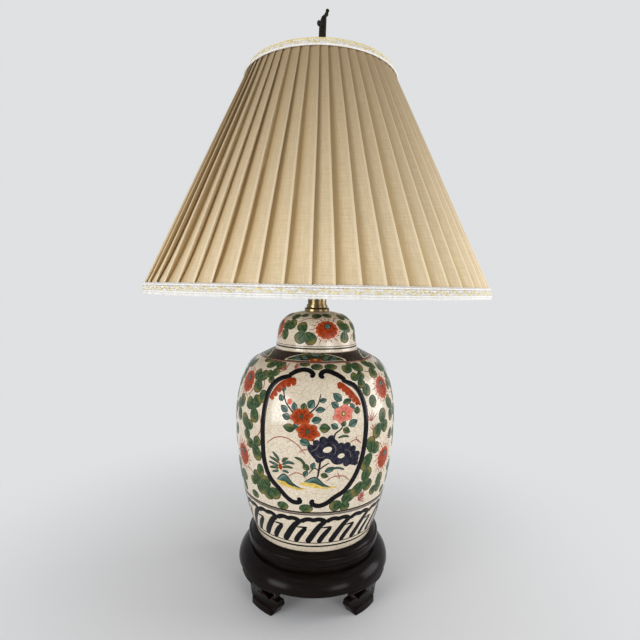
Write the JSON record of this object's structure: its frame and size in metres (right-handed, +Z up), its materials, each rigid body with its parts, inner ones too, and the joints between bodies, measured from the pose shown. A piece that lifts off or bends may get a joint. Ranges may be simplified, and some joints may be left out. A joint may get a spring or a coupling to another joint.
{
  "type": "table lamp",
  "caption": "Table lamp with a lidded ceramic ginger jar on a footed wood stand, a brass neck, a harp, a switched socket with bulb, and a knife-pleated cone shade under a finial.",
  "frame": {"origin": "on the table, on the lamp's axis, under the stand", "axes": "+Z up along the lamp's axis, front of the jar towards -Y, +X to the viewer's right"},
  "size_m": [0.4099, 0.4098, 0.7096],
  "materials": {
    "wood": "satin dark stain",
    "bushing_plastic": "moulded",
    "steel": "zinc plated",
    "glaze": "glossy crackle glaze with painted enamel",
    "brass": "aged, polished",
    "card": "plain",
    "porcelain": "glazed",
    "knob_plastic": "fluted",
    "bulb_glass": "frosted",
    "bulb_cap": "drawn",
    "frame_wire": "plated wire",
    "lining": "plain weave",
    "shade_cloth": "slubbed weave in knife pleats",
    "trim": "braided gimp",
    "bronze": "dark antique bronze"
  },
  "bodies": {
    "base": {"stand_drum": "wood", "stand_rim": "wood", "foot_front_left": "wood", "foot_front_right": "wood", "foot_rear_right": "wood", "foot_rear_left": "wood", "cord_bushing": "bushing_plastic", "base_washer": "steel", "base_nut": "steel", "threaded_rod": "steel", "jar": "glaze", "lid": "glaze", "check_ring": "brass", "brass_neck": "brass", "harp_saddle": "brass", "harp": "brass", "harp_stud": "brass", "socket_cap": "brass", "socket_shell": "brass", "socket_insulator": "card", "socket_interior": "porcelain", "socket_screw_shell": "brass", "socket_contact": "brass", "terminal_screws": "steel"},
    "ferrule_left": {"harp_ferrule_left": "brass"},
    "ferrule_right": {"harp_ferrule_right": "brass"},
    "switch": {"switch_shaft": "brass", "switch_knob": "knob_plastic"},
    "bulb": {"bulb_glass": "bulb_glass", "bulb_cap": "bulb_cap", "bulb_contact": "brass"},
    "shade": {"shade_spider": "frame_wire", "shade_top_ring": "frame_wire", "shade_bottom_ring": "frame_wire", "shade_ribs": "frame_wire", "shade_lining": "lining", "shade_pleats": "shade_cloth", "shade_trim_bottom": "trim", "shade_trim_top": "trim"},
    "finial": {"finial_base": "bronze", "finial_stem": "bronze"}
  },
  "joints": [
    {"name": "switch_turn", "type": "hinge", "parent": "base", "child": "switch", "pos_m": [0, -0.033, 0.40331], "axis": [0, -1, 0], "continuous": true},
    {"name": "bulb_turn", "type": "hinge", "parent": "base", "child": "bulb", "pos_m": [0, 0, 0.425], "axis": [0, 0, 1], "continuous": true},
    {"name": "shade_swivel", "type": "hinge", "parent": "base", "child": "shade", "pos_m": [0, 0, 0.6256], "axis": [0, 0, 1], "continuous": true},
    {"name": "finial_turn", "type": "hinge", "parent": "base", "child": "finial", "pos_m": [0, 0, 0.637], "axis": [0, 0, 1], "continuous": true},
    {"name": "ferrule_left_slide", "type": "slide", "parent": "base", "child": "ferrule_left", "axis": [0, 0, 1], "range_m": [0, 0.012]},
    {"name": "ferrule_right_slide", "type": "slide", "parent": "base", "child": "ferrule_right", "axis": [0, 0, 1], "range_m": [0, 0.012]}
  ]
}
